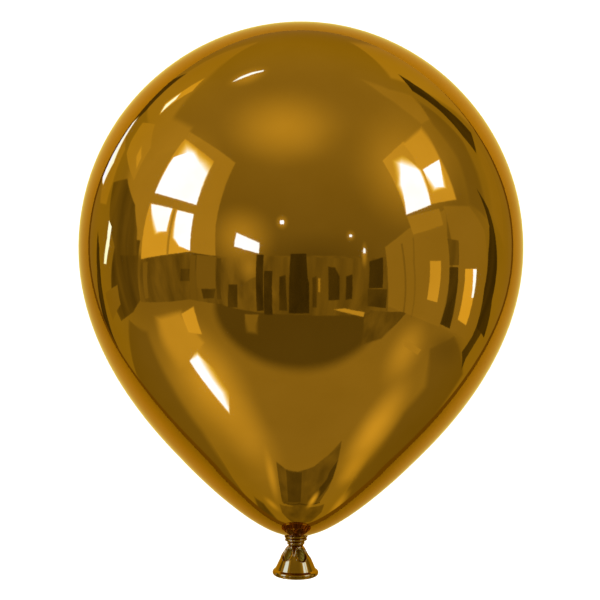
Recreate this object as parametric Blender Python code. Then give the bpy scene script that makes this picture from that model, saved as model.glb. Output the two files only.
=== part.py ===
# A tied party balloon of gold chrome latex, lying on its side.
# Metres, +Z up. The balloon's axis runs along Y, with the crown at +Y and the neck at -Y.
# The whole balloon is one moulded piece: body, knot and the skirt below the knot.

import math

import bmesh
import bpy
from mathutils import Matrix, Vector
from mathutils.geometry import interpolate_bezier

# Body
BODY_DIAMETER = 0.300
CROWN_RISE = 0.153          # widest ring up to the crown
TAPER_DROP = 0.1948         # widest ring down to the crease above the knot
CROWN_BREADTH = 0.51        # how flat the crown is, as a share of the body's radius
SHOULDER_FULLNESS = 0.586   # length of the full stretch above the widest ring, in crown rises
HIP_FULLNESS = 0.376        # the same below the widest ring, in taper drops
WAIST_BREADTH = 0.52        # where the hip turns into the taper, in body radii
WAIST_PLACE = 0.74          # its drop below the widest ring, in taper drops
TAPER_SLOPE = math.radians(45.9)
TAPER_FULLNESS = (0.118, 0.164, 0.088)  # lengths of the curve's handles, in taper drops
FLAT_SPOT_DIAMETER = 0.038  # stops the balloon from rolling

# Knot
KNOT_DIAMETER = 0.0134
COIL_THICKNESS = 0.0025
COIL_COUNT = 3
COIL_NARROWING = 0.80       # each coil's overhang past the neck, as a share of the coil above
COIL_SWAY = 0.0004          # how far a coil rises and falls on its way round
LOOP_BULGE = 0.0013         # where the strand passes under itself, left and right
NECK_DIAMETER = 0.0094

# Skirt below the knot
SKIRT_LENGTH = 0.0186       # neck to the middle of the rolled lip
SKIRT_DIAMETER = 0.0274     # at the middle of the rolled lip
SKIRT_WALL = 0.0008
LIP_THICKNESS = 0.0042
LIP_START = math.radians(60)     # where the roll leaves the skirt's outside
LIP_FINISH = math.radians(-215)  # where it meets the skirt's inside
THROAT_DIAMETER = 0.0030    # where the skirt closes up inside, under the knot
THROAT_DROP = 0.0030        # neck to that end

# Gathers in the latex
PLEAT_COUNT = 12
PLEAT_HEIGHT = 0.0005
PLEAT_REACH = 0.0080        # how far they run out over the body from the crease
FOLD_COUNT = 5
FOLD_DEPTH = 0.0010
FOLD_RIM = 0.0003           # the ridge round each fold
FOLD_LENGTH = 0.0096        # down the skirt from the neck
FOLD_TURN = math.radians(27)

# Fineness of the faceted surface
SECTORS = 60
CROWN_STEPS = 12
HIP_STEPS = 9
TAPER_STEPS = 9
COIL_STEPS = 4
SKIRT_STEPS = 13
LIP_STEPS = 8
INSIDE_STEPS = 9

GOLD = (0.52, 0.24, 0.012, 1.0)
GOLD_ROUGHNESS = 0.05

bodyRadius = BODY_DIAMETER / 2
crease = -TAPER_DROP
coilRadius = COIL_THICKNESS / 2
coilPitch = 0.92 * COIL_THICKNESS
neck = crease - COIL_COUNT * coilPitch - coilRadius / 2
lipRadius = LIP_THICKNESS / 2
lipMiddle = neck - SKIRT_LENGTH
lipEnd = lipMiddle - lipRadius
neckRadius = NECK_DIAMETER / 2
skirtRadius = SKIRT_DIAMETER / 2
creaseRadius = KNOT_DIAMETER / 2 - coilRadius * 0.7
flatDepth = bodyRadius - math.sqrt(bodyRadius**2 - (FLAT_SPOT_DIAMETER / 2) ** 2)


def curve(start, startHandle, endHandle, end, steps):
    """Points of one smooth stretch of the profile, without its first point."""
    ends = [Vector(point).to_3d() for point in (start, startHandle, endHandle, end)]
    return [(p.x, p.y) for p in interpolate_bezier(*ends, steps + 1)[1:]]


def arc(centre, radius, fromAngle, toAngle, steps):
    """Points round a circle in the profile, both ends included."""
    angles = [fromAngle + (toAngle - fromAngle) * i / steps for i in range(steps + 1)]
    return [
        (centre[0] + radius * math.cos(a), centre[1] + radius * math.sin(a))
        for a in angles
    ]


def bodyProfile():
    """(radius, height) from the crown down to the crease above the knot."""
    crown = (0.0, CROWN_RISE)
    widest = (bodyRadius, 0.0)
    waist = (WAIST_BREADTH * bodyRadius, -WAIST_PLACE * TAPER_DROP)
    creaseEnd = (creaseRadius, crease)
    slope = (math.cos(TAPER_SLOPE), math.sin(TAPER_SLOPE))
    above, below, last = (share * TAPER_DROP for share in TAPER_FULLNESS)
    points = [crown]
    points += curve(
        crown,
        (CROWN_BREADTH * bodyRadius, CROWN_RISE),
        (bodyRadius, SHOULDER_FULLNESS * CROWN_RISE),
        widest,
        CROWN_STEPS,
    )
    points += curve(
        widest,
        (bodyRadius, -HIP_FULLNESS * TAPER_DROP),
        (waist[0] + above * slope[0], waist[1] + above * slope[1]),
        waist,
        HIP_STEPS,
    )
    points += curve(
        waist,
        (waist[0] - below * slope[0], waist[1] - below * slope[1]),
        (creaseEnd[0] + last, creaseEnd[1]),
        creaseEnd,
        TAPER_STEPS,
    )
    return points


def knotProfile():
    """The coils of the knot, one below the other, each a little narrower."""
    points = []
    for index in range(COIL_COUNT):
        middle = crease - (index + 0.5) * coilPitch - coilRadius / 4
        overhang = (KNOT_DIAMETER / 2 - neckRadius) * COIL_NARROWING**index
        radius = neckRadius + overhang - coilRadius
        points += arc(
            (radius, middle), coilRadius, math.radians(58), math.radians(-58), COIL_STEPS
        )
    return points


def skirtProfile():
    """Down the outside of the skirt, round its rolled lip and up inside to the throat."""
    flare = skirtRadius - neckRadius
    outside = curve(
        (neckRadius, neck),
        (neckRadius + 0.34 * flare, neck - 0.12 * SKIRT_LENGTH),
        (skirtRadius - 0.24 * flare, lipMiddle + lipRadius + 0.29 * SKIRT_LENGTH),
        (skirtRadius + lipRadius * 0.1, lipMiddle + lipRadius * 1.08),
        SKIRT_STEPS,
    )
    lip = arc((skirtRadius, lipMiddle), lipRadius, LIP_START, LIP_FINISH, LIP_STEPS)
    throat = (THROAT_DIAMETER / 2, neck - THROAT_DROP)
    inside = curve(
        lip[-1],
        (skirtRadius - 0.24 * flare - SKIRT_WALL, lipMiddle + lipRadius + 0.29 * SKIRT_LENGTH),
        (throat[0] + 0.34 * flare, throat[1] - 0.04 * SKIRT_LENGTH),
        throat,
        INSIDE_STEPS,
    )
    return [(neckRadius, neck)] + outside + lip + inside + [(0.0, throat[1])]


def smoothStep(low, high, value):
    t = min(max((value - low) / (high - low), 0.0), 1.0)
    return t * t * (3 - 2 * t)


def fold(height, azimuth):
    """The leaf-shaped tucks that hang down the skirt from the neck, out (+) or in (-)."""
    down = (neck - height) / FOLD_LENGTH
    if not 0 < down < 1:
        return 0.0
    pitch = 2 * math.pi / FOLD_COUNT
    across = ((azimuth - FOLD_TURN) / pitch + 0.5) % 1 - 0.5
    leafEdge = 0.44 * math.sin(math.pi * down**0.8) ** 0.5
    inset = 1 - abs(across) / max(leafEdge, 0.01)
    hollow = smoothStep(0.0, 0.4, inset)
    rim = smoothStep(-0.25, 0.0, inset) * (1 - hollow)
    return smoothStep(0, 0.25, down) * (FOLD_RIM * rim - FOLD_DEPTH * hollow)


def pleat(radius, height, azimuth):
    """How far the gathers above the knot lift the body's underside."""
    out = (radius - creaseRadius) / PLEAT_REACH
    if height < crease - coilRadius / 4 or not 0 < out < 1:
        return 0.0
    swell = smoothStep(0, 0.3, out) * smoothStep(1, 0.3, out)
    return PLEAT_HEIGHT * swell * math.cos(PLEAT_COUNT * azimuth)


def sway(height, azimuth):
    """The coils wander up and down and swell where the strand crosses under itself."""
    inKnot = smoothStep(neck, neck + coilRadius, height)
    inKnot *= smoothStep(crease, crease - coilRadius, height)
    side = abs(math.sin(azimuth)) ** 6
    top = smoothStep(crease - 2.5 * coilPitch, crease - 1.8 * coilPitch, height)
    return (
        inKnot * LOOP_BULGE * side * top,
        inKnot * COIL_SWAY * math.sin(azimuth + math.radians(40)),
    )


def latexMaterial():
    material = bpy.data.materials.new("gold_chrome_latex")
    material.use_nodes = True
    shader = material.node_tree.nodes["Principled BSDF"]
    shader.inputs["Base Color"].default_value = GOLD
    shader.inputs["Metallic"].default_value = 1.0
    shader.inputs["Roughness"].default_value = GOLD_ROUGHNESS
    return material


def turn(mesh, profile):
    """Spins the profile once round the upright axis and closes it at both poles."""
    points = [mesh.verts.new((radius, 0.0, height)) for radius, height in profile]
    edges = [mesh.edges.new(pair) for pair in zip(points, points[1:])]
    bmesh.ops.spin(
        mesh,
        geom=points + edges,
        axis=(0, 0, 1),
        cent=(0, 0, 0),
        steps=SECTORS,
        angle=2 * math.pi,
        use_merge=True,
    )
    bmesh.ops.remove_doubles(mesh, verts=mesh.verts, dist=1e-6)


def gather(mesh):
    """Moves the turned surface's points into pleats, folds and wound coils."""
    for vert in mesh.verts:
        radius = math.hypot(vert.co.x, vert.co.y)
        height = vert.co.z
        if radius < THROAT_DIAMETER / 4:
            continue
        azimuth = math.atan2(vert.co.x, -vert.co.y)
        bulge, lift = sway(height, azimuth)
        awayFromThroat = smoothStep(THROAT_DIAMETER / 2, neckRadius, radius)
        tuck = fold(height, azimuth) * awayFromThroat
        grown = (radius + tuck + bulge) / radius
        raised = height + lift - pleat(radius, height, azimuth)
        vert.co = Vector((vert.co.x * grown, vert.co.y * grown, raised))


def cutFlatSpot(mesh):
    """Takes a shallow slice off the side that the balloon lies on."""
    cut = bmesh.ops.bisect_plane(
        mesh,
        geom=mesh.verts[:] + mesh.edges[:] + mesh.faces[:],
        plane_co=(0, bodyRadius - flatDepth, 0),
        plane_no=(0, 1, 0),
        clear_outer=True,
    )
    rim = [item for item in cut["geom_cut"] if isinstance(item, bmesh.types.BMEdge)]
    bmesh.ops.contextual_create(mesh, geom=rim)


def makeBalloon():
    mesh = bmesh.new()
    turn(mesh, bodyProfile() + knotProfile() + skirtProfile())
    gather(mesh)
    cutFlatSpot(mesh)
    bmesh.ops.recalc_face_normals(mesh, faces=mesh.faces)
    data = bpy.data.meshes.new("balloon")
    mesh.to_mesh(data)
    mesh.free()
    data.shade_smooth()
    data.set_sharp_from_angle(angle=math.radians(40))
    data.materials.append(latexMaterial())
    balloon = bpy.data.objects.new("balloon", data)
    bpy.context.scene.collection.objects.link(balloon)
    # The upright form is laid down: its crown goes to +Y and its front faces up.
    balloon.matrix_world = Matrix.Translation(
        (0, -(CROWN_RISE + lipEnd) / 2, bodyRadius - flatDepth)
    ) @ Matrix.Rotation(math.radians(-90), 4, "X")
    return balloon


for thing in list(bpy.data.objects):
    bpy.data.objects.remove(thing, do_unlink=True)

makeBalloon()
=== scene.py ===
# The looks of a tied party balloon in gold chrome latex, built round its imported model.
# Metres, +Z up. The balloon lies on its side: crown towards +Y, knot and skirt towards -Y.
import math

import bmesh
import bpy
from mathutils import Matrix, Vector
from mathutils.bvhtree import BVHTree
from mathutils.geometry import interpolate_bezier
from mathutils.interpolate import poly_3d_calc


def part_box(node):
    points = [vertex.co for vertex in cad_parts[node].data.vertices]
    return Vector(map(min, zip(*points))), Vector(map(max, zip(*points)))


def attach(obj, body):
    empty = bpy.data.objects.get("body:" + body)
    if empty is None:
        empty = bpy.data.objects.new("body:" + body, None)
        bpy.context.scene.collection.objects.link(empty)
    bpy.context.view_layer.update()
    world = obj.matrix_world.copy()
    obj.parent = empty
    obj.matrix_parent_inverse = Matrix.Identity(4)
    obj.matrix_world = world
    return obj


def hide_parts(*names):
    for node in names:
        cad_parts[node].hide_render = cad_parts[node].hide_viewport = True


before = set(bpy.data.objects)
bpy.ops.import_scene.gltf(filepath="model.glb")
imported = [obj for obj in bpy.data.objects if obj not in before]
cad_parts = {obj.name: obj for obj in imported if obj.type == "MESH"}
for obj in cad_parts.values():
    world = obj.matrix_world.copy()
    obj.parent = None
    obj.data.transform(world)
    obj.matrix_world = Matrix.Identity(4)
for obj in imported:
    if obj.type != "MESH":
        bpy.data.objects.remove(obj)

scene = bpy.context.scene
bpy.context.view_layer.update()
nodeLow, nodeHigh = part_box("balloon")


# sRGB hex code to the linear colour that nodes take
def linearColour(code):
    shares = [int(code[i : i + 2], 16) / 255 for i in (0, 2, 4)]
    return tuple(s / 12.92 if s <= 0.04045 else ((s + 0.055) / 1.055) ** 2.4 for s in shares) + (1.0,)


# adds one node, with its settings, and its inputs as values or as sockets to link from; a Mix node takes
# its two colours at 6 and 7, or its two numbers at 2 and 3
def addNode(tree, kind, inputs=None, **settings):
    node = tree.nodes.new(kind)
    for name, value in settings.items():
        setattr(node, name, value)
    for name, value in (inputs or {}).items():
        if isinstance(value, bpy.types.NodeSocket):
            tree.links.new(value, node.inputs[name])
        else:
            node.inputs[name].default_value = value
    return node


def smoothStep(low, high, value):
    t = min(max((value - low) / (high - low), 0.0), 1.0)
    return t * t * (3 - 2 * t)


# Body of the balloon, as turned about its own axis: radius across, height up from the widest ring
body = {
    "crownRise": 0.153,        # widest ring up to the crown
    "taperDrop": 0.1948,       # widest ring down to the crease above the knot
    "crownBreadth": 0.51,      # how flat the crown is, in body radii
    "shoulderFullness": 0.586,  # in crown rises
    "hipFullness": 0.376,      # in taper drops
    "waistBreadth": 0.52,      # where the hip turns into the taper, in body radii
    "waistPlace": 0.74,        # its drop below the widest ring, in taper drops
    "taperSlope": math.radians(45.9),
    "aboveWaist": 0.118,       # lengths of the curve's handles, in taper drops
    "belowWaist": 0.164,
    "atCrease": 0.088,
    "crownRings": 46,
    "hipRings": 30,
    "taperRings": 52,
    "sectors": 288,
    "sharpFrom": math.radians(60),  # edges that turn more than this stay crisp
}
bodyRadius = (nodeHigh.x - nodeLow.x) / 2
axisHeight = nodeHigh.z - bodyRadius
crease = -body["taperDrop"]

# Knot: the neck wound round itself and pulled tight
knot = {
    "diameter": 0.0134,
    "strand": 0.0025,
    "turns": 3,
    "pitch": 0.92,             # from turn to turn, in strands, as they press together
    "narrowing": 0.80,         # each turn's overhang past the neck, as a share of the turn above
    "shows": math.radians(58),  # how much of a turn shows, up and down from its middle
    "cover": 0.7,              # how far the body closes over the first turn, in strand radii
    "sway": 0.0004,            # how far the turns wander up and down
    "swayTurn": math.radians(40),
    "loopBulge": 0.0013,       # where the strand passes under itself, left and right
    "loopTightness": 6,        # how narrow the bulge is, as a power of the sine round the knot
    "loopTop": 1.8,            # the bulge is whole down to here and gone at its foot, in turns
    "loopFoot": 2.5,
    "neckDiameter": 0.0094,
    "strandRings": 15,
}
strandRadius = knot["strand"] / 2
strandPitch = knot["pitch"] * knot["strand"]
neckRadius = knot["neckDiameter"] / 2
neck = crease - knot["turns"] * strandPitch - strandRadius / 2
creaseRadius = knot["diameter"] / 2 - strandRadius * knot["cover"]

# Skirt below the knot: the open end of the balloon, with its rolled lip
skirt = {
    "length": 0.0186,          # neck to the middle of the rolled lip
    "diameter": 0.0274,
    "wall": 0.0008,
    "lipThickness": 0.0042,
    "lipStart": math.radians(60),
    "lipFinish": math.radians(-215),
    "throatDiameter": 0.0030,
    "throatDrop": 0.0030,
    "shoulderOut": 0.34,       # handles of the flare's curve, in flares across
    "bellIn": 0.24,
    "shoulderDown": 0.12,      # and in skirt lengths along
    "bellUp": 0.29,
    "throatDown": 0.04,
    "lipSeat": (0.1, 1.08),    # where the flare meets the lip, out and up, in lip radii
    "rings": 76,
    "lipRings": 24,
    "insideRings": 26,
}
lipRadius = skirt["lipThickness"] / 2
lipMiddle = neck - skirt["length"]
skirtRadius = skirt["diameter"] / 2

# Gathers: what the tight knot does to the latex above and below it
gathers = {
    "pleats": 12,
    "pleatHeight": 0.0005,
    "pleatReach": 0.0080,
    "pleatCrest": 0.3,         # where a pleat is highest, in pleat reaches
    "leaves": 5,
    "leafDepth": 0.0010,
    "leafRim": 0.0003,
    "leafLength": 0.0096,
    "leafTurn": math.radians(27),
    "leafBreadth": 0.44,       # half a leaf's width, in leaf pitches
    "leafFullness": 0.8,       # under 1, a leaf is broadest nearer the knot than its tip
    "leafHollow": 0.4,         # how far in from its edge a leaf is fully hollow, in half widths
    "leafFold": 0.25,          # breadth of the fold round a leaf, in half widths
    "leafStart": 0.25,         # how soon a leaf is open below the knot, in leaf lengths
    "veinHeight": 0.00013,
    "veinSpacing": 0.0024,
    "veinSlant": 5.0,          # how far a vein climbs across a leaf pitch, in vein spacings
    "veinCrest": 0.55,         # a vein rises where its wave is over this
    "slackNeck": 0.48,         # how gathered the latex of the neck is, outside its tucks
}


# points of one smooth stretch of the profile, without its first point
def stretch(start, startHandle, endHandle, end, steps):
    ends = [Vector(point).to_3d() for point in (start, startHandle, endHandle, end)]
    return [(p.x, p.y) for p in interpolate_bezier(*ends, steps + 1)[1:]]


# points round a circle in the profile, both ends included
def arc(centre, radius, fromAngle, toAngle, steps):
    angles = [fromAngle + (toAngle - fromAngle) * i / steps for i in range(steps + 1)]
    return [(centre[0] + radius * math.cos(a), centre[1] + radius * math.sin(a)) for a in angles]


def bodyProfile():
    rise, drop = body["crownRise"], body["taperDrop"]
    crown, widest = (0.0, rise), (bodyRadius, 0.0)
    waist = Vector((body["waistBreadth"] * bodyRadius, -body["waistPlace"] * drop))
    slope = Vector((math.cos(body["taperSlope"]), math.sin(body["taperSlope"])))
    dome = (body["crownBreadth"] * bodyRadius, rise)
    shoulder = (bodyRadius, body["shoulderFullness"] * rise)
    hip = (bodyRadius, -body["hipFullness"] * drop)
    above = waist + slope * body["aboveWaist"] * drop
    below = waist - slope * body["belowWaist"] * drop
    last = (creaseRadius + body["atCrease"] * drop, crease)
    points = [crown]
    points += stretch(crown, dome, shoulder, widest, body["crownRings"])
    points += stretch(widest, hip, above, waist, body["hipRings"])
    points += stretch(waist, below, last, (creaseRadius, crease), body["taperRings"])
    return points


def knotProfile():
    points = []
    for turn in range(knot["turns"]):
        middle = crease - (turn + 0.5) * strandPitch - strandRadius / 4
        overhang = (knot["diameter"] / 2 - neckRadius) * knot["narrowing"] ** turn
        centre = (neckRadius + overhang - strandRadius, middle)
        points += arc(centre, strandRadius, knot["shows"], -knot["shows"], knot["strandRings"])
    return points


def skirtProfile():
    flare = skirtRadius - neckRadius
    lipTop = lipMiddle + lipRadius
    bell = (skirtRadius - skirt["bellIn"] * flare, lipTop + skirt["bellUp"] * skirt["length"])
    seatOut, seatUp = skirt["lipSeat"]
    outside = stretch(
        (neckRadius, neck),
        (neckRadius + skirt["shoulderOut"] * flare, neck - skirt["shoulderDown"] * skirt["length"]),
        bell,
        (skirtRadius + lipRadius * seatOut, lipMiddle + lipRadius * seatUp),
        skirt["rings"],
    )
    lip = arc((skirtRadius, lipMiddle), lipRadius, skirt["lipStart"], skirt["lipFinish"], skirt["lipRings"])
    throat = (skirt["throatDiameter"] / 2, neck - skirt["throatDrop"])
    inside = stretch(
        lip[-1],
        (bell[0] - skirt["wall"], bell[1]),
        (throat[0] + skirt["shoulderOut"] * flare, throat[1] - skirt["throatDown"] * skirt["length"]),
        throat,
        skirt["insideRings"],
    )
    return [(neckRadius, neck)] + outside + lip + inside + [(0.0, throat[1])]


# the leaf-shaped tucks that hang down the skirt from the knot: out (+) or in (-)
def leafRelief(height, azimuth):
    down = (neck - height) / gathers["leafLength"]
    if not 0 < down < 1:
        return 0.0
    pitch = 2 * math.pi / gathers["leaves"]
    across = ((azimuth - gathers["leafTurn"]) / pitch + 0.5) % 1 - 0.5
    edge = gathers["leafBreadth"] * math.sin(math.pi * down ** gathers["leafFullness"]) ** 0.5
    inset = 1 - abs(across) / max(edge, 0.01)
    hollow = smoothStep(0.0, gathers["leafHollow"], inset)
    rim = smoothStep(-gathers["leafFold"], 0.0, inset) * (1 - hollow)
    slant = (neck - height) / gathers["veinSpacing"] - across * gathers["veinSlant"]
    wave = smoothStep(gathers["veinCrest"], 1.0, math.cos(2 * math.pi * slant))
    vein = gathers["veinHeight"] * wave * hollow
    relief = gathers["leafRim"] * rim - gathers["leafDepth"] * hollow + vein
    return smoothStep(0, gathers["leafStart"], down) * relief


# the radial gathers on the body's underside, round the knot
def pleatRelief(radius, height, azimuth):
    out = (radius - creaseRadius) / gathers["pleatReach"]
    if height < crease - strandRadius / 4 or not 0 < out < 1:
        return 0.0
    swell = smoothStep(0, gathers["pleatCrest"], out) * smoothStep(1, gathers["pleatCrest"], out)
    return gathers["pleatHeight"] * swell * math.cos(gathers["pleats"] * azimuth)


# how the knot's turns wander, and swell where the strand crosses under itself
def strandSway(height, azimuth):
    inKnot = smoothStep(neck, neck + strandRadius, height)
    inKnot *= smoothStep(crease, crease - strandRadius, height)
    side = abs(math.sin(azimuth)) ** knot["loopTightness"]
    top = smoothStep(crease - knot["loopFoot"] * strandPitch, crease - knot["loopTop"] * strandPitch, height)
    return (
        inKnot * knot["loopBulge"] * side * top,
        inKnot * knot["sway"] * math.sin(azimuth + knot["swayTurn"]),
    )


# spins the profile once round the upright axis
def turnProfile(mesh):
    profile = bodyProfile() + knotProfile() + skirtProfile()
    points = [mesh.verts.new((radius, 0.0, height)) for radius, height in profile]
    edges = [mesh.edges.new(pair) for pair in zip(points, points[1:])]
    bmesh.ops.spin(
        mesh,
        geom=points + edges,
        axis=(0, 0, 1),
        cent=(0, 0, 0),
        steps=body["sectors"],
        angle=2 * math.pi,
        use_merge=True,
    )
    bmesh.ops.remove_doubles(mesh, verts=mesh.verts, dist=1e-6)


def gatherLatex(mesh):
    # how gathered the latex is sets how dull it is, and how far its gold is darkened as painted shade
    gathered = mesh.verts.layers.float.new("gathered")
    for vert in mesh.verts:
        radius = math.hypot(vert.co.x, vert.co.y)
        height = vert.co.z
        slack = smoothStep(crease + gathers["pleatReach"], crease, height)
        vert[gathered] = slack * gathers["slackNeck"]
        if radius < skirt["throatDiameter"] / 4:
            continue
        azimuth = math.atan2(vert.co.x, -vert.co.y)
        bulge, lift = strandSway(height, azimuth)
        awayFromThroat = smoothStep(skirt["throatDiameter"] / 2, neckRadius, radius)
        tuck = leafRelief(height, azimuth) * awayFromThroat
        if tuck < 0:
            vert[gathered] = max(vert[gathered], min(-tuck / gathers["leafDepth"], 1.0))
        grown = (radius + tuck + bulge) / radius
        raised = height + lift - pleatRelief(radius, height, azimuth)
        vert.co = Vector((vert.co.x * grown, vert.co.y * grown, raised))


# lays the upright form down, its front facing up, and takes the flat spot off its underside
def layDown(mesh):
    place = Matrix.Translation((0, nodeHigh.y - body["crownRise"], axisHeight))
    bmesh.ops.transform(mesh, matrix=place @ Matrix.Rotation(math.radians(-90), 4, "X"), verts=mesh.verts)
    cut = bmesh.ops.bisect_plane(
        mesh,
        geom=mesh.verts[:] + mesh.edges[:] + mesh.faces[:],
        plane_co=(0, 0, nodeLow.z),
        plane_no=(0, 0, -1),
        clear_outer=True,
    )
    rim = [item for item in cut["geom_cut"] if isinstance(item, bmesh.types.BMEdge)]
    bmesh.ops.contextual_create(mesh, geom=rim)


# Chrome latex, dipped in a metallic bath and blown up tight: a smooth gold mirror with no clear coat. Where
# it isn't stretched, at the neck and in the tucks, it is less sharp, and its gold is darkened: painted
# shade.
latex = {
    "gold": "bf861d",
    "cloudedGold": "b98119",
    # painted shade: the darker gold of the gathered latex at the neck and in the tucks
    "gatheredShadeGold": "5e4001",
    "edgeGold": "decab6",      # keeps what it mirrors at a glancing angle nearly as gold as the rest
    "stretched": 0.025,        # roughness
    "clouded": 0.045,
    "gathered": 0.28,
    "dulling": 2.5,            # over 1, only the most gathered latex is dull
    "cloud": 0.035,            # size of the faint clouds that stretching leaves
    "cloudStart": 0.35,        # the noise value where a cloud starts, and where it is whole
    "cloudWhole": 0.7,
    "swell": 0.055,            # length and height of the slow swells in the skin
    "swellHeight": 0.00016,
    "peel": 0.0028,            # length and height of its orange peel
    "peelHeight": 0.000003,
}


def chromeLatex():
    material = bpy.data.materials.new("goldChromeLatexDipped")
    material.use_nodes = True
    tree = material.node_tree
    shader = tree.nodes["Principled BSDF"]
    shader.inputs["Specular Tint"].default_value = linearColour(latex["edgeGold"])
    shader.inputs["Metallic"].default_value = 1.0
    place = addNode(tree, "ShaderNodeTexCoord").outputs["Object"]
    gathered = addNode(tree, "ShaderNodeAttribute", attribute_name="gathered").outputs["Fac"]
    clouds = addNode(
        tree,
        "ShaderNodeTexNoise",
        {"Vector": place, "Scale": 1 / latex["cloud"], "Detail": 3.0},
    )
    cloud = addNode(
        tree,
        "ShaderNodeMapRange",
        {"Value": clouds.outputs["Fac"], "From Min": latex["cloudStart"], "From Max": latex["cloudWhole"]},
    )

    gold = linearColour(latex["gold"])
    cloudedGold = linearColour(latex["cloudedGold"])
    skin = addNode(
        tree,
        "ShaderNodeMix",
        {"Factor": cloud.outputs["Result"], 6: gold, 7: cloudedGold},
        data_type="RGBA",
    )
    # painted shade: the gold darkens where the latex is gathered, at the neck and deepest in the tucks
    colour = addNode(
        tree,
        "ShaderNodeMix",
        {"Factor": gathered, 6: skin.outputs[2], 7: linearColour(latex["gatheredShadeGold"])},
        data_type="RGBA",
    )
    tree.links.new(colour.outputs[2], shader.inputs["Base Color"])

    gloss = addNode(
        tree,
        "ShaderNodeMapRange",
        {"Value": cloud.outputs["Result"], "To Min": latex["stretched"], "To Max": latex["clouded"]},
    )
    dullness = addNode(tree, "ShaderNodeMath", {0: gathered, 1: latex["dulling"]}, operation="POWER")
    roughness = addNode(
        tree,
        "ShaderNodeMix",
        {"Factor": dullness.outputs[0], 2: gloss.outputs["Result"], 3: latex["gathered"]},
        data_type="FLOAT",
    )
    tree.links.new(roughness.outputs[0], shader.inputs["Roughness"])

    swells = addNode(
        tree,
        "ShaderNodeTexNoise",
        {"Vector": place, "Scale": 1 / latex["swell"], "Detail": 1.0},
    )
    peels = addNode(
        tree,
        "ShaderNodeTexNoise",
        {"Vector": place, "Scale": 1 / latex["peel"], "Detail": 1.0},
    )
    slow = addNode(
        tree,
        "ShaderNodeBump",
        {"Height": swells.outputs["Fac"], "Distance": latex["swellHeight"]},
    )
    fine = addNode(
        tree,
        "ShaderNodeBump",
        {"Height": peels.outputs["Fac"], "Distance": latex["peelHeight"], "Normal": slow.outputs["Normal"]},
    )
    tree.links.new(fine.outputs["Normal"], shader.inputs["Normal"])
    return material


def makeBalloon():
    mesh = bmesh.new()
    turnProfile(mesh)
    gatherLatex(mesh)
    layDown(mesh)
    bmesh.ops.recalc_face_normals(mesh, faces=mesh.faces)
    data = bpy.data.meshes.new("balloonSkin")
    mesh.to_mesh(data)
    mesh.free()
    data.shade_smooth()
    data.set_sharp_from_angle(angle=body["sharpFrom"])
    data.materials.append(chromeLatex())
    balloon = bpy.data.objects.new("balloonSkin", data)
    scene.collection.objects.link(balloon)
    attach(balloon, "root")
    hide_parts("balloon")
    return balloon


# Camera, straight above the balloon, which lies with its front up
view = {
    "lens": 67.44,
    "sensor": 36.0,
    "aboveAxis": 0.772,
    "towardsNeck": 0.03415,    # from the widest ring
    "lean": math.radians(0.96),
    "picture": 600,
}


def makeCamera():
    data = bpy.data.cameras.new("camera")
    data.lens = view["lens"]
    data.sensor_width = view["sensor"]
    camera = bpy.data.objects.new("camera", data)
    widest = nodeHigh.y - body["crownRise"]
    camera.location = (0, widest - view["towardsNeck"], axisHeight + view["aboveAxis"])
    camera.rotation_euler = (0, 0, view["lean"])
    scene.collection.objects.link(camera)
    scene.camera = camera
    return camera


camera = makeCamera()
balloon = makeBalloon()
print("balloon:", len(balloon.data.polygons), "faces")


# Plain pale floor. What the balloon mirrors of it is a patch of its own, with a painted glow of light
# and a dark hem of painted shade.
floor = {
    "side": 40.0,
    "tone": "f2f2f0",
    "drop": 0.0002,
    "patchTone": "8b8950",     # warm, as the gold throws its own light on the floor
    "glowTone": "ffe660",
    "patchGlow": 1.15,         # at the patch's middle, fading to its foot
    "patchSides": 0.34,        # what is left of the glow at its sides and crown
    "patchAcross": 0.70,
    "patchAlong": 0.78,
    "patchCorners": (0.20, 0.33, 0.20, 0.20),  # foot left and right, crown left and right
    "cornerSteps": 12,
    "glowRise": 0.2,           # the glow is whole from here towards the crown, in half lengths
    "hem": 0.022,              # the dark hem shows past the patch at the sides and the foot
    "hemShift": 1.5,           # how far it lies towards the foot, in hems
    "hemShade": "8c7d3f",
}


def plainMaterial(name, tone):
    material = bpy.data.materials.new(name)
    material.use_nodes = True
    shader = material.node_tree.nodes["Principled BSDF"]
    shader.inputs["Base Color"].default_value = linearColour(tone)
    shader.inputs["Roughness"].default_value = 1.0
    shader.inputs["Specular IOR Level"].default_value = 0.0
    return material


def addStage(name, mesh, material):
    data = bpy.data.meshes.new(name)
    mesh.to_mesh(data)
    mesh.free()
    data.materials.append(material)
    thing = bpy.data.objects.new(name, data)
    scene.collection.objects.link(thing)
    return thing


# a stage card shows only in the balloon's own gloss
def onlyMirrored(card):
    card.visible_camera = False
    card.visible_diffuse = False
    card.visible_transmission = False
    card.visible_volume_scatter = False
    card.visible_shadow = False


def makeFloor():
    mesh = bmesh.new()
    bmesh.ops.create_grid(mesh, x_segments=1, y_segments=1, size=floor["side"] / 2)
    bmesh.ops.translate(mesh, vec=(0, 0, -floor["drop"]), verts=mesh.verts)
    plane = addStage("floor", mesh, plainMaterial("paintedBoard", floor["tone"]))
    plane.visible_glossy = False


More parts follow.
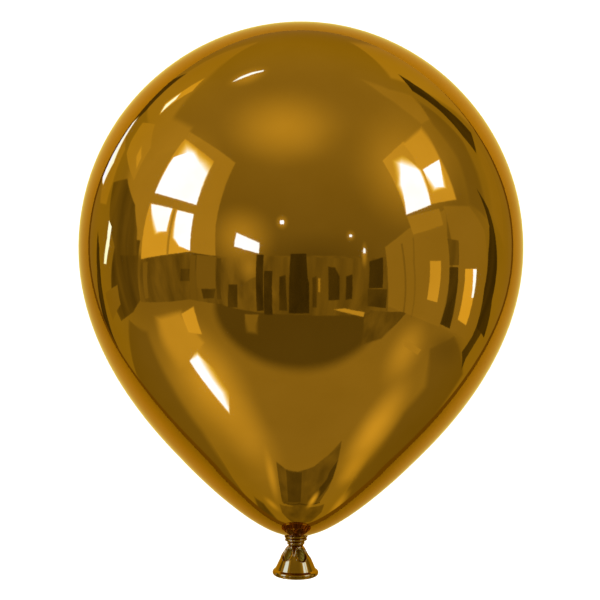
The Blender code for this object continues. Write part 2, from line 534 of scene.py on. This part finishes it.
# a rounded rectangle on the floor, its mask full in the middle, less at its sides and none at its foot
def makePatch(name, grown, shift, drop, material):
    mesh = bmesh.new()
    mask = mesh.verts.layers.float.new("mask")
    bmesh.ops.create_grid(mesh, x_segments=1, y_segments=1, size=0.5)
    size = (floor["patchAcross"] + 2 * grown, floor["patchAlong"] + 2 * grown, 1)
    bmesh.ops.scale(mesh, vec=size, verts=mesh.verts)
    corners = sorted(mesh.verts, key=lambda vert: (vert.co.y, vert.co.x))
    for corner, radius in zip(corners, floor["patchCorners"]):
        bmesh.ops.bevel(
            mesh,
            geom=[corner],
            offset=radius,
            offset_type="OFFSET",
            affect="VERTICES",
            segments=floor["cornerSteps"],
            profile=0.5,
            material=-1,
        )
    foot = -floor["patchAlong"] / 2
    for vert in mesh.verts:
        vert[mask] = floor["patchSides"] * smoothStep(foot, floor["glowRise"] * -foot, vert.co.y)
    middle = bmesh.ops.poke(mesh, faces=mesh.faces)["verts"][0]
    middle[mask] = 1.0
    bmesh.ops.translate(mesh, vec=(0, shift, -drop), verts=mesh.verts)
    onlyMirrored(addStage(name, mesh, material))


def glowMaterial(name, tone):
    material = bpy.data.materials.new(name)
    material.use_nodes = True
    tree = material.node_tree
    tree.nodes.clear()
    glow = addNode(tree, "ShaderNodeEmission", {"Color": linearColour(tone), "Strength": 1.0})
    addNode(tree, "ShaderNodeOutputMaterial", {"Surface": glow.outputs[0]})
    return material


def patchMaterial():
    material = plainMaterial("paintedBoardMirrored", floor["patchTone"])
    tree = material.node_tree
    shader = tree.nodes["Principled BSDF"]
    mask = addNode(tree, "ShaderNodeAttribute", attribute_name="mask").outputs["Fac"]
    # painted light: the patch glows most in its middle, like a pool of light, and fades to its foot
    glow = addNode(tree, "ShaderNodeMath", {0: mask, 1: floor["patchGlow"]}, operation="MULTIPLY")
    shader.inputs["Emission Color"].default_value = linearColour(floor["glowTone"])
    tree.links.new(glow.outputs[0], shader.inputs["Emission Strength"])
    return material


# Light all round: white for the camera and for matt surfaces, and a soft run of greys for gloss
surround = {
    "white": 1.05,
    "softLight": 1.95,
    # how bright gloss sees it, from straight below the skirt (-Y) to straight above the crown (+Y)
    "greys": (
        (0.0, 0.46), (0.1, 0.50), (0.22, 0.46), (0.32, 0.40), (0.42, 0.30),
        (0.52, 0.31), (0.65, 0.35), (0.80, 0.41), (0.92, 0.47), (1.0, 0.46),
    ),
    "behind": "c2c3b6",        # what the skin near the rim mirrors
    "behindStart": 0.2,        # how far up a direction looks where that starts, and where it is whole
    "behindWhole": -0.6,
}


def makeSurround():
    world = bpy.data.worlds.new("softStudio")
    scene.world = world
    world.use_nodes = True
    tree = world.node_tree
    tree.nodes.clear()
    way = addNode(tree, "ShaderNodeTexCoord").outputs["Generated"]
    split = addNode(tree, "ShaderNodeSeparateXYZ", {"Vector": way})
    along = addNode(
        tree,
        "ShaderNodeMapRange",
        {"Value": split.outputs["Y"], "From Min": -1.0, "From Max": 1.0},
    )
    ramp = addNode(tree, "ShaderNodeValToRGB", {"Fac": along.outputs["Result"]})
    greys = surround["greys"]
    stops = ramp.color_ramp.elements
    while len(stops) < len(greys):
        stops.new(0.5)
    for stop, (place, grey) in zip(stops, greys):
        stop.position = place
        stop.color = (grey, grey, grey, 1.0)
    behind = addNode(
        tree,
        "ShaderNodeMapRange",
        {
            "Value": split.outputs["Z"],
            "From Min": surround["behindStart"],
            "From Max": surround["behindWhole"],
        },
        interpolation_type="SMOOTHSTEP",
    )
    gloss = addNode(
        tree,
        "ShaderNodeMix",
        {"Factor": behind.outputs["Result"], 6: ramp.outputs["Color"], 7: linearColour(surround["behind"])},
        data_type="RGBA",
    )
    glossLight = addNode(tree, "ShaderNodeBackground", {"Color": gloss.outputs[2], "Strength": 1.0})
    plain = (1, 1, 1, 1)
    softLight = addNode(tree, "ShaderNodeBackground", {"Color": plain, "Strength": surround["softLight"]})
    white = addNode(tree, "ShaderNodeBackground", {"Color": plain, "Strength": surround["white"]})
    path = addNode(tree, "ShaderNodeLightPath")
    first = addNode(
        tree,
        "ShaderNodeMixShader",
        {"Fac": path.outputs["Is Glossy Ray"], 1: softLight.outputs[0], 2: glossLight.outputs[0]},
    )
    second = addNode(
        tree,
        "ShaderNodeMixShader",
        {"Fac": path.outputs["Is Camera Ray"], 1: first.outputs[0], 2: white.outputs[0]},
    )
    addNode(tree, "ShaderNodeOutputWorld", {"Surface": second.outputs[0]})


# Studio cards that the balloon mirrors, each placed by the pixels of the 600 px picture where its corners
# show on the balloon. The first number is its light, as gloss sees it, and "white" is a lamp box, cool
# enough to look white in gold. The second is the width of its faded edge there, in pixels, and the third
# how far off it stands, in metres.
backCards = {
    "leftSide": (0.69, 8, 9.8, ((158, 108), (196, 125), (192, 250), (141, 262), (124, 240), (122, 186))),
    "leftBoard": (0.72, 0.8, 9.6, (
        (189, 131), (236, 163), (222, 198), (216, 225), (216, 257), (190, 252), (170, 200),
    )),
    "leftEdge": (0.23, 1.5, 7.9, (
        (113, 182), (128, 178), (136, 205), (138, 230), (138, 256), (117, 256), (112, 238), (109, 215),
    )),
    "farLeftUpper": (0.74, 2, 9.2, (
        (99, 204), (103, 176), (117, 143), (129, 126), (126, 150), (114, 182), (107, 206),
    )),
    "leftLow": (0.26, 0.8, 9.4, (
        (141, 259), (190, 252), (223, 256), (224, 305), (190, 300), (141, 302),
    )),
    "leftLowFar": (0.19, 1.2, 9.4, (
        (117, 236), (141, 240), (141, 300), (134, 312), (121, 322), (112, 300),
    )),
    "horizonBand": (0.27, 1.2, 9.4, (
        (222, 257), (262, 255), (345, 255), (386, 257), (388, 311), (345, 316), (300, 315), (222, 306),
    )),
    "rightBoard": (0.5, 1.5, 9.6, (
        (384, 247), (408, 228), (446, 208), (448, 235), (447, 300), (440, 328), (408, 315), (386, 306),
    )),
    "rightBoardFar": (0.5, 2.5, 9.7, (
        (442, 205), (470, 205), (486, 230), (484, 300), (470, 345), (440, 327),
    )),
    "rightLowShade": (0.22, (1, 1, 1, 3, 3), 9.3, (
        (364, 309), (408, 311), (397, 324), (382, 340), (360, 346),
    )),
    "upperLeftSide": (0.68, (5, 1, 1, 1, 1, 5, 5), 9.8, (
        (148, 130), (148, 106), (165, 86), (190, 70), (262, 40), (208, 82), (170, 128),
    )),
    "upperRightSide": (0.78, (3, 4, 3, 3, 3, 3, 3, 4), 9.8, (
        (345, 40), (410, 56), (448, 80), (474, 108), (508, 178), (476, 134), (440, 103), (390, 80),
    )),
    "rightSlope": (0.35, (3, 2, 2, 4, 3, 4, 4, 3), 9.6, (
        (412, 96), (440, 116), (463, 140), (479, 172), (488, 222), (468, 205), (456, 160), (432, 126),
    )),
    "rightSlopeFar": (0.56, (3, 3, 3, 3, 4, 4), 9.7, (
        (470, 132), (488, 158), (504, 210), (506, 262), (490, 215), (477, 160),
    )),
    "upperRightBand": (0.6, 3, 9.8, (
        (352, 76), (390, 88), (412, 94), (432, 120), (421, 126), (404, 112), (382, 96),
    )),
    "lowerLeftSide": (0.33, (2, 6, 7, 7, 1, 1, 1, 1), 9.8, (
        (128, 318), (150, 330), (176, 385), (206, 430), (256, 508), (225, 487), (170, 422), (136, 374),
    )),
    "lowerRightSide": (0.32, (4, 3, 3, 3, 3, 3, 7, 8, 7), 9.8, (
        (428, 348), (455, 334), (464, 375), (437, 415), (395, 462), (332, 512), (362, 460), (400, 410),
        (422, 385),
    )),
}

flags = {
    "tallFlag": (0.078, 0.4, 8.0, (
        (290.4, 253.7), (306.7, 253.7), (308, 278), (309.4, 283), (309.4, 313.4), (288.7, 313.4),
        (289, 283),
    )),
    "flagOne": (0.10, 0.5, 8.0, ((256.6, 254.3), (264, 254.3), (264, 310.5), (256.6, 311.7))),
    "flagTwo": (0.09, 0.5, 8.0, ((264, 270.4), (272.6, 270.4), (273, 315), (264, 315))),
    "flagThree": (0.085, 0.5, 8.0, ((369, 261.2), (382.8, 257.2), (382.8, 288.2), (368.5, 288.2))),
    "flagFour": (0.13, 0.5, 8.0, ((367.3, 288.7), (387.4, 288.7), (385.7, 308.2), (367.3, 306))),
    "flagFive": (0.09, 0.4, 8.0, ((346, 276), (352.7, 274), (352.4, 299), (345.5, 300.2))),
    "flagSix": (0.10, 0.5, 8.0, ((327.6, 266), (335, 267), (340, 276), (339.8, 300.2), (328.3, 300.8))),
    "flagSeven": (0.15, 0.8, 8.0, ((312, 277), (317, 275), (317, 308), (312, 308))),
    "flagEight": (0.12, 0.8, 8.0, ((279, 276), (286, 274), (288, 311), (279, 311))),
    "flagNine": (0.14, 1.0, 8.0, ((228.4, 284), (238, 284), (238, 308), (227.3, 308))),
    "flagTen": (0.17, 0.6, 8.4, ((216.8, 258), (221.5, 258), (222, 300), (217, 300))),
    "flagEleven": (0.17, 0.6, 8.4, ((201, 289), (216, 289), (214, 299), (203, 299))),
    "flagTwelve": (0.3, 0.6, 8.4, ((190.5, 254), (196, 255), (197, 300), (190.5, 300))),
    "leftLowDark": (0.095, 0.5, 9.2, ((148.7, 268.4), (171.5, 268.4), (172.8, 299.4), (149.5, 298))),
    "leftLowDarkTop": (0.17, 0.4, 9.1, ((172.5, 268.4), (189.5, 268.4), (189.5, 281), (172.5, 281))),
    "leftLowPanel": (0.26, 0.5, 9.0, ((173.3, 281), (190, 281), (190, 300), (173.3, 300))),
    "leftLowStrip": (0.36, 0.5, 9.0, ((143, 262), (148, 261), (149, 298), (145, 299))),
    "leftLowCard": (0.34, 0.5, 9.0, ((196.5, 254), (216, 257), (216, 288.5), (197, 288.5))),
    "farLeftCard": (0.46, 0.8, 8.8, ((105, 293), (117.7, 284), (121, 304), (113, 322))),
    "farLeftDark": (0.15, 0.5, 8.9, (
        (189, 72), (168, 82), (151, 97), (136, 114), (118, 142), (131, 127), (146, 111), (162, 94),
    )),
    "rightFlag": (0.12, 0.5, 8.0, (
        (449.2, 267.3), (458.4, 267.3), (456, 300), (450, 328.6), (440, 324), (447, 300),
    )),
    "rightFlagTop": (0.25, 0.8, 8.4, ((447, 238), (459, 240), (459, 266), (449, 266))),
    "farRightFlag": (0.095, 0.3, 8.0, (
        (476, 187), (488.5, 209), (495.5, 237), (497, 268), (492, 300), (484, 338), (476, 327),
        (484, 289), (488, 254), (489, 226),
    )),
    "lowRightFlag": (0.13, 0.4, 8.0, (
        (461, 371), (461.5, 352), (472, 336), (477, 324), (482, 332), (474, 345), (466, 358),
    )),
    "upperRightFlag": (0.1, 0.4, 8.0, (
        (397, 73.5), (414, 84), (442, 105), (471, 132.5), (477, 155), (463, 137), (442, 113), (412, 91),
    )),
    "leftArc": (0.12, 0.25, 8.2, (
        (98, 228), (99.5, 248), (100.5, 270), (104, 300), (113, 335), (127, 364), (121, 357), (108, 332),
        (99.5, 300), (97, 270),
    )),
    "seamOne": (0.36, 0.4, 8.4, ((400.5, 244), (402.6, 243), (404.5, 312), (402.5, 312))),
    "seamTwo": (0.4, 0.4, 8.4, (
        (412.5, 238), (414, 237), (415, 262), (412, 318), (410.5, 318), (413, 262),
    )),
    "bellFlag": (0.26, 0.8, 8.0, (
        (275.3, 460.4), (285.6, 469), (297.6, 471.6), (315, 465.6), (330, 453), (342, 440), (336, 470),
        (329, 488), (320, 502), (282, 502),
    )),
    "bellCore": (0.15, 0.8, 7.8, ((285.6, 470), (297.6, 472.4), (302.5, 472), (301, 502), (288, 502))),
    "bellEdge": (0.13, 0.8, 7.8, (
        (339, 458), (334, 476), (326, 490), (315, 503), (319, 488), (332, 468),
    )),
    "bellFoot": (0.27, 0.8, 7.8, (
        (279, 503.4), (300, 504.6), (325, 503.4), (322, 512), (311, 522), (291, 522), (282, 513),
    )),
    "bellFootLine": (0.12, 0.4, 7.7, (
        (283, 501.8), (300, 502.8), (320, 501.8), (320, 503), (300, 504.2), (283, 503),
    )),
    "neckShadeLeft": (0.24, 2.5, 7.9, (
        (252, 494), (264, 502), (274, 514), (286, 527), (272, 524), (258, 511),
    )),
    "neckShadeRight": (0.24, 2.5, 7.9, (
        (352, 500), (344, 508), (330, 518), (316, 527), (328, 525), (344, 515),
    )),
}

panels = {
    "leftBoxLower": (1.28, 0.5, 8.4, ((150.4, 203), (193.5, 214), (190, 251.5), (141, 259))),
    "leftBoxBar": (0.75, 0.3, 7.0, ((173.5, 209.3), (176, 209.8), (168.3, 255), (165.8, 255.3))),
    "farLeftPanel": (0.8, 0.8, 8.4, (
        (155.6, 123.7), (151.3, 148), (134, 182), (126.3, 153), (130.6, 141), (142.7, 122),
    )),
    "farLeftPanelCore": (1.1, 1.2, 8.2, ((142.7, 143), (142, 158), (136, 172), (136, 156))),
    "upperLeftSliver": (1.25, 0.5, 8.2, (
        (158.2, 116), (165, 103), (184, 90), (206.4, 77), (193, 91), (177, 100.5),
    )),
    "rightPanel": (1.15, (5, 3, 2, 1, 0.5, 2), 8.4, (
        (421.5, 124.5), (440.5, 156.4), (457.7, 200.3), (431, 204.6), (406, 215), (382, 160.7),
    )),
    "rightPanelLeft": (1.02, 0.5, 8.2, ((403.5, 141), (422, 170), (406, 214), (382.6, 161))),
    "rightPanelFoot": (0.68, 1.0, 8.8, ((406, 216), (439.6, 208), (444, 225), (413, 235.6))),
    "rightStripOne": (1.12, 0.4, 8.0, ((429.6, 261), (441, 261), (437.7, 302.5), (427, 299.5))),
    "rightStripTwo": (1.4, 0.4, 8.0, (
        (465, 269), (476.8, 268.5), (473, 300), (466, 325.5), (457.5, 319.4), (462.5, 295),
    )),
    "thinStrip": (0.8, 0.3, 7.8, ((318.2, 277.8), (320.3, 277.8), (320.3, 292.2), (318.2, 292.2))),
    "lowStripOne": (0.4, (1.5, 1.5, 5, 5), 8.0, ((244, 313.4), (259.4, 314), (259, 336), (245, 334))),
    "lowStripTwo": (0.95, 0.5, 8.0, ((332.3, 309.4), (345, 308.3), (364.5, 312), (363.5, 317))),
    "lowStripThree": (0.75, 1.2, 8.0, ((402, 339), (406, 339), (422, 350), (418, 356), (404, 347))),
    "lowerLeftWarm": (1.0, (9, 9, 8, 5, 12, 14, 12), 8.8, (
        (152, 315), (168, 311), (182, 308), (206, 342), (206, 366), (178, 374), (160, 347),
    )),
    "lowerLeftBright": (1.25, 1.2, 8.4, ((181, 314), (194, 306), (202.5, 335), (188, 333))),
    "leftBoxGold": (1.15, 0.6, 8.3, ((184.9, 138.5), (214.2, 161.5), (196, 206), (154.5, 193.6))),
}

# The same for round cards that fade all the way from their middle: light, how far off, middle pixel, half
# width and half height in pixels, and lean in degrees
glows = {
    "topGlow": (0.92, 9.5, (284, 127), (70, 46), 0),
    "topStripGlow": (0.85, 8.6, (248, 76.5), (27, 9), -20),
    "smallBoxGlow": (0.8, 9.0, (241, 237), (40, 38), 20),
    "smallBoxFoot": (0.62, 9.0, (250, 268), (15, 20), 0),
    "leftBoxGlow": (0.85, 9.3, (180, 190), (44, 78), 20),
    "rightBoxGlow": (0.8, 9.3, (406, 168), (62, 76), -20),
    "lowerLeftGlow": (1.15, 9.0, (210, 384), (40, 96), -33),
    "lowerLeftFar": (0.8, 9.1, (250, 438), (28, 66), -30),
    "bellStreakLeft": (1.0, 8.8, (271, 474), (6, 34), -13),
    "bellStreakRight": (1.25, 7.5, (313, 500), (4, 13), 35),
    "neckStreakLeft": (0.95, 7.6, (272, 504), (4, 14), -48),
    "neckStreakRight": (0.95, 7.6, (338, 505), (5, 24), 40),
    "lowerRightGlow": (1.15, 8.8, (374, 430), (20, 74), 34),
    "lowerRightTail": (1.0, 8.7, (354, 466), (10, 32), 38),
    "lowerRightFar": (0.85, 8.9, (404, 353), (20, 46), 28),
    "lowerRightShade": (0.27, 9.2, (446, 350), (24, 24), 30),
    "dimMiddle": (0.2, 9.7, (315, 262), (80, 36), 0),
    "spotOneGlow": (0.8, 8.6, (281.8, 222.4), (8, 9), 0),
    "spotTwoGlow": (0.7, 8.6, (350.7, 236.1), (6, 7), 0),
    "spotThreeGlow": (0.8, 8.6, (364.3, 255), (4, 16), 0),
}

lampBoxes = {
    "leftBoxUpper": ("white", (10, 8, 12, 2, 0.6, 0.6, 1), 7.4, (
        (184.9, 138.5), (198, 148), (214.2, 161.5), (208, 175), (196, 206), (154.5, 193.6), (173, 157),
    )),
    "leftBoxPartOne": ("white", (0.6, 0.6, 1.5, 4), 7.2, (
        (151, 203.6), (172.8, 208.7), (167.4, 232), (154, 236),
    )),
    "leftBoxPartTwo": ("white", (0.6, 0.6, 0.6, 2, 3), 7.2, (
        (177, 210), (193.5, 214.2), (190, 251), (178, 247), (171, 238),
    )),
    "farLeftSliver": ("white", 0.6, 7.4, (
        (141, 114), (131, 128), (121, 146), (114, 163), (103, 186), (102, 182), (106, 160), (113, 147),
        (127, 128),
    )),
    "farLeftStrip": ("white", 0.3, 7.4, (
        (109.2, 220), (112, 227), (109.6, 245), (106.5, 264), (103.8, 264), (107.2, 238),
    )),
    "topStrip": ("white", 0.3, 7.4, (
        (230.5, 82.8), (241, 76.2), (252, 72.1), (264, 69.6), (264, 71.2), (252, 74.5), (241, 78.8),
    )),
    "upperLeftCore": ("white", 0.6, 7.4, ((159, 115), (165.5, 104), (183, 91), (176, 99.5))),
    "smallBox": ("white", 0.4, 7.4, ((236.5, 232.2), (260, 242.8), (259.2, 253.7), (234, 246.5))),
    "spotOne": ("white", 0.3, 7.4, (
        (280, 220.2), (283.6, 220.2), (284.2, 222.4), (283.6, 224.6), (280, 224.6), (279.4, 222.4),
    )),
    "spotTwo": ("white", 0.3, 7.4, (
        (349.4, 234.6), (352, 234.6), (352.6, 236.1), (352, 237.7), (349.4, 237.7), (348.8, 236.1),
    )),
    "spotThree": ("white", 0.3, 7.4, (
        (364, 247.5), (365.4, 249), (365.8, 253.5), (363, 253.5), (363, 250),
    )),
    "rightBoxOne": ("white", (9, 9, 3, 0.8, 0.8, 6), 7.4, (
        (391, 160), (402, 154), (421.5, 169.5), (431.5, 205), (406, 215), (395.5, 186),
    )),
    "rightBoxTwo": ("white", (1, 1, 4, 6), 7.4, (
        (421.8, 169.3), (439.8, 158.8), (448, 189), (432, 194),
    )),
    "rightStripEdge": ("white", 0.4, 7.4, ((473, 269), (477, 269), (473.5, 298), (471, 298))),
    "lowerLeftBox": ("white", (4, 0.8, 1.5, 8, 9), 7.4, (
        (197, 350), (189, 361), (230.5, 416), (230, 391), (216, 370),
    )),
}

# A dark round card, upright on its edge, that faces the balloon from past its foot. How high its middle is
# over the balloon's axis, and its radius, are multiples of how far past it stands.
shade = {"light": 0.175, "soft": 1.4, "past": 8.0, "up": 2.4, "radius": 1.84}

# a lamp box fades through a yellow gold, as one that is overexposed does
lampBox = {"light": 1.1, "fringeYellow": 1.3, "coreShare": 3.0}

# streaks that run along Y keep the darker cards from looking like cut paper in the mirror
streaks = {"scale": (1.3, 0.12, 1.3), "noiseFrom": 0.3, "noiseTo": 0.7, "depth": 0.3, "upTo": 0.3}


# a grey light, or that of a lamp box, which looks white in the gold although the gold swallows most of its
# green and nearly all its blue
def lightColour(light):
    if light == "white":
        return tuple(lampBox["light"] / share for share in linearColour(latex["gold"])[:3]) + (1.0,)
    return (light, light, light, 1.0)


def cardMaterial(name, light, streaked=False):
    material = bpy.data.materials.new(name)
    material.use_nodes = True
    material.cycles.emission_sampling = "NONE"
    tree = material.node_tree
    tree.nodes.clear()
    place = addNode(tree, "ShaderNodeTexCoord").outputs["Object"]
    stretched = addNode(tree, "ShaderNodeMapping", {"Vector": place, "Scale": streaks["scale"]})
    noise = addNode(
        tree,
        "ShaderNodeTexNoise",
        {"Vector": stretched.outputs["Vector"], "Scale": 1.0, "Detail": 4.0},
    )
    depth = streaks["depth"] if streaked else 0.0
    strength = addNode(
        tree,
        "ShaderNodeMapRange",
        {
            "Value": noise.outputs["Fac"],
            "From Min": streaks["noiseFrom"],
            "From Max": streaks["noiseTo"],
            "To Min": 1 - depth,
            "To Max": 1 + depth,
        },
    )
    mask = addNode(tree, "ShaderNodeAttribute", attribute_name="mask").outputs["Fac"]
    fade = addNode(tree, "ShaderNodeMapRange", {"Value": mask}, interpolation_type="SMOOTHSTEP")
    # a card lights only what is mirrored first hand, so that it throws no sparkle on the floor
    path = addNode(tree, "ShaderNodeLightPath")
    bounces = path.outputs["Diffuse Depth"]
    direct = addNode(tree, "ShaderNodeMath", {0: bounces, 1: 0.5}, operation="LESS_THAN").outputs[0]
    lit = addNode(tree, "ShaderNodeMath", {0: fade.outputs["Result"], 1: direct}, operation="MULTIPLY")
    clear = addNode(tree, "ShaderNodeBsdfTransparent")
    colour = lightColour(light)
    if light == "white":
        core = addNode(tree, "ShaderNodeMath", {0: mask, 1: lampBox["coreShare"]}, operation="POWER")
        fringe = (colour[0], lampBox["fringeYellow"] * colour[0], colour[0], 1.0)
        colour = addNode(
            tree,
            "ShaderNodeMix",
            {"Factor": core.outputs[0], 6: fringe, 7: colour},
            data_type="RGBA",
        ).outputs[2]
    glow = addNode(tree, "ShaderNodeEmission", {"Color": colour, "Strength": strength.outputs["Result"]})
    mixed = addNode(
        tree,
        "ShaderNodeMixShader",
        {"Fac": lit.outputs[0], 1: clear.outputs[0], 2: glow.outputs[0]},
    )
    addNode(tree, "ShaderNodeOutputMaterial", {"Surface": mixed.outputs[0]})
    return material


# what a pixel of the picture mirrors in the balloon, at a distance
def mirrored(pixel, distance, search, skin):
    half = view["picture"] / 2
    focal = view["lens"] / view["sensor"] * view["picture"]
    ray = Vector(((pixel[0] - half) / focal, (half - pixel[1]) / focal, -1)).normalized()
    ray.rotate(camera.rotation_euler)
    point, _, index, _ = search.ray_cast(camera.location, ray)
    if point is None:
        raise ValueError(f"pixel {pixel} misses the balloon")
    face = skin.faces[index]
    weights = poly_3d_calc([vert.co for vert in face.verts], point)
    normal = sum((vert.normal * weight for vert, weight in zip(face.verts, weights)), Vector())
    return point + ray.reflect(normal.normalized()) * distance


# a flat card with a faded edge, drawn in the picture's pixels; the fade may have a width for each corner
def fadedCard(pixels, soft):
    widths = soft if isinstance(soft, tuple) else (soft,) * len(pixels)
    hairline = 0.05            # a first, thin inset shows which way each corner moves in
    mesh = bmesh.new()
    mask = mesh.verts.layers.float.new("mask")
    corners = [mesh.verts.new((x, y, 0)) for x, y in pixels]
    middle = mesh.faces.new(corners)
    middle.normal_update()     # a new face has no normal yet, and the inset needs one
    bmesh.ops.inset_individual(mesh, faces=[middle], thickness=hairline, use_even_offset=True)
    for vert in middle.verts:
        corner, width = min(zip(corners, widths), key=lambda pair: (pair[0].co - vert.co).length)
        vert.co = corner.co.lerp(vert.co, width / hairline)
        vert[mask] = 1.0
    return mesh


# a round card that fades all the way from its middle, in the same pixels
def glowCard(centre, half, lean):
    mesh = bmesh.new()
    mask = mesh.verts.layers.float.new("mask")
    bmesh.ops.create_circle(mesh, cap_ends=True, cap_tris=True, radius=1.0, segments=40)
    bmesh.ops.subdivide_edges(mesh, edges=[e for e in mesh.edges if not e.is_boundary], cuts=3)
    for vert in mesh.verts:
        vert[mask] = 1.0 - min(vert.co.length, 1.0)
    bmesh.ops.scale(mesh, vec=(half[0], half[1], 1), verts=mesh.verts)
    bmesh.ops.rotate(mesh, matrix=Matrix.Rotation(lean, 3, "Z"), verts=mesh.verts)
    bmesh.ops.translate(mesh, vec=(centre[0], centre[1], 0), verts=mesh.verts)
    return mesh


# sends a card out to where the balloon mirrors it in those pixels
def sendOut(name, mesh, material, reach, search, skin):
    for vert in mesh.verts:
        vert.co = mirrored(vert.co, reach, search, skin)
    onlyMirrored(addStage(name, mesh, material))


def makeCards():
    skin = bmesh.new()
    skin.from_mesh(balloon.data)
    skin.faces.ensure_lookup_table()
    search = BVHTree.FromBMesh(skin)
    for group in (backCards, flags, panels, lampBoxes):
        for name, (light, soft, reach, pixels) in group.items():
            streaked = light != "white" and light < streaks["upTo"]
            card = fadedCard(pixels, soft)
            sendOut(name, card, cardMaterial(name, light, streaked), reach, search, skin)
    for name, (light, reach, centre, half, lean) in glows.items():
        card = glowCard(centre, half, math.radians(lean))
        sendOut(name, card, cardMaterial(name, light), reach, search, skin)
    skin.free()


def makeShade():
    mesh = bmesh.new()
    mask = mesh.verts.layers.float.new("mask")
    bmesh.ops.create_circle(mesh, cap_ends=True, radius=shade["radius"] * shade["past"], segments=96)
    middle = mesh.faces[:][0]
    bmesh.ops.inset_individual(mesh, faces=[middle], thickness=shade["soft"])
    for vert in middle.verts:
        vert[mask] = 1.0
    place = Matrix.Translation((0, -shade["past"], axisHeight + shade["up"] * shade["past"]))
    bmesh.ops.transform(mesh, matrix=place @ Matrix.Rotation(math.radians(90), 4, "X"), verts=mesh.verts)
    onlyMirrored(addStage("lowerShade", mesh, cardMaterial("lowerShade", shade["light"])))


makeFloor()
makePatch("floorPatch", 0.0, 0.0, 2 * floor["drop"], patchMaterial())
# painted shade: a glowing darker hem round the mirrored patch, in place of the shaded floor near the balloon
hemShadeMaterial = glowMaterial("hemShadeMirrored", floor["hemShade"])
makePatch("floorHemShade", floor["hem"], -floor["hemShift"] * floor["hem"], 3 * floor["drop"], hemShadeMaterial)
makeSurround()
makeCards()
makeShade()

scene.view_settings.view_transform = "Standard"
